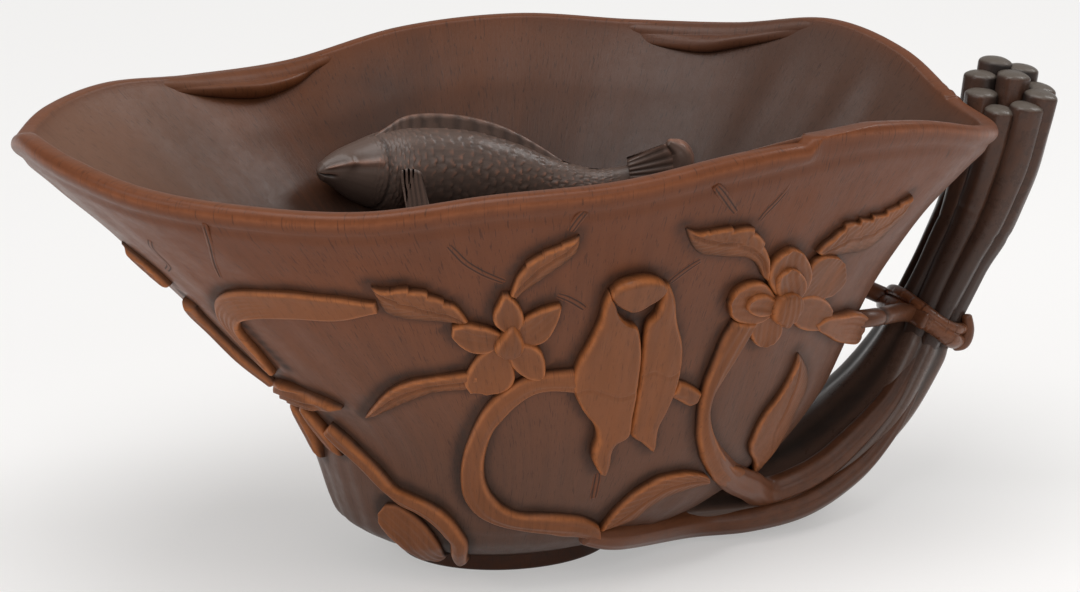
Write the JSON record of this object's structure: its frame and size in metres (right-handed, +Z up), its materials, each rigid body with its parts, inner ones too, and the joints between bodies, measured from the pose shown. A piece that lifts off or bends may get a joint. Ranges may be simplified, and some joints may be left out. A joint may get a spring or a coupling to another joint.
{
  "type": "horn drinking cup",
  "caption": "Carved horn libation cup shaped as a lotus leaf: flared bowl on a small foot, a handle of bundled stems tied to the wall, blossoms in relief and a carp inside.",
  "frame": {"origin": "centre of the flat foot on the table", "axes": "+X toward the handle, -X toward the pointed spout, -Y the pictured side, +Z up"},
  "size_m": [0.164, 0.1, 0.0718],
  "materials": {
    "horn_wall": "waxed carved horn, satin",
    "horn_relief": "waxed carved horn, worn to a satin gloss",
    "horn_handle": "dark waxed horn, satin gloss",
    "horn_tie": "dark waxed horn, satin gloss",
    "horn_foot": "waxed horn, worn matt",
    "horn_fish": "dark horn, satin"
  },
  "bodies": {
    "root": {"cup_wall": "horn_wall", "foot": "horn_foot", "rim_fold_spout": "horn_wall", "rim_fold_back": "horn_wall", "rim_fold_front": "horn_wall", "handle_cane_1": "horn_handle", "handle_cane_2": "horn_handle", "handle_cane_3": "horn_handle", "handle_cane_4": "horn_handle", "handle_cane_5": "horn_handle", "handle_cane_6": "horn_handle", "handle_cane_7": "horn_handle", "handle_cane_8": "horn_handle", "handle_cane_9": "horn_handle", "handle_stock": "horn_handle", "handle_root": "horn_handle", "tie_band": "horn_tie", "tie_branch_front": "horn_tie", "tie_branch_back": "horn_tie", "tie_knot": "horn_tie", "tie_bud": "horn_relief", "spray_petal_1": "horn_relief", "spray_petal_2": "horn_relief", "spray_petal_3": "horn_relief", "spray_petal_4": "horn_relief", "spray_petal_5": "horn_relief", "spray_heart": "horn_relief", "spray_leaf_1": "horn_relief", "spray_leaf_2": "horn_relief", "spray_leaf_3": "horn_relief", "curled_stem": "horn_relief", "lotus_petal_1": "horn_relief", "lotus_petal_2": "horn_relief", "lotus_petal_3": "horn_relief", "lotus_petal_4": "horn_relief", "lotus_petal_5": "horn_relief", "lotus_heart": "horn_relief", "lotus_leaf_1": "horn_relief", "lotus_leaf_2": "horn_relief", "lotus_stem": "horn_relief", "crescent_leaf": "horn_relief", "furled_leaf_left": "horn_relief", "furled_leaf_right": "horn_relief", "furled_leaf_hood": "horn_relief", "arch_leaf": "horn_relief", "link_stem": "horn_relief", "strap_leaf": "horn_relief", "spout_twig": "horn_relief", "pod": "horn_relief", "hanging_petals": "horn_relief", "swan_stem": "horn_relief", "scroll_leaf": "horn_relief", "fish_body": "horn_fish", "fish_back_fin": "horn_fish", "fish_tail_fin": "horn_fish", "fish_side_fin": "horn_fish", "back_petals": "horn_relief", "back_heart": "horn_relief", "back_leaves": "horn_relief", "back_stem": "horn_relief"}
  },
  "joints": []
}
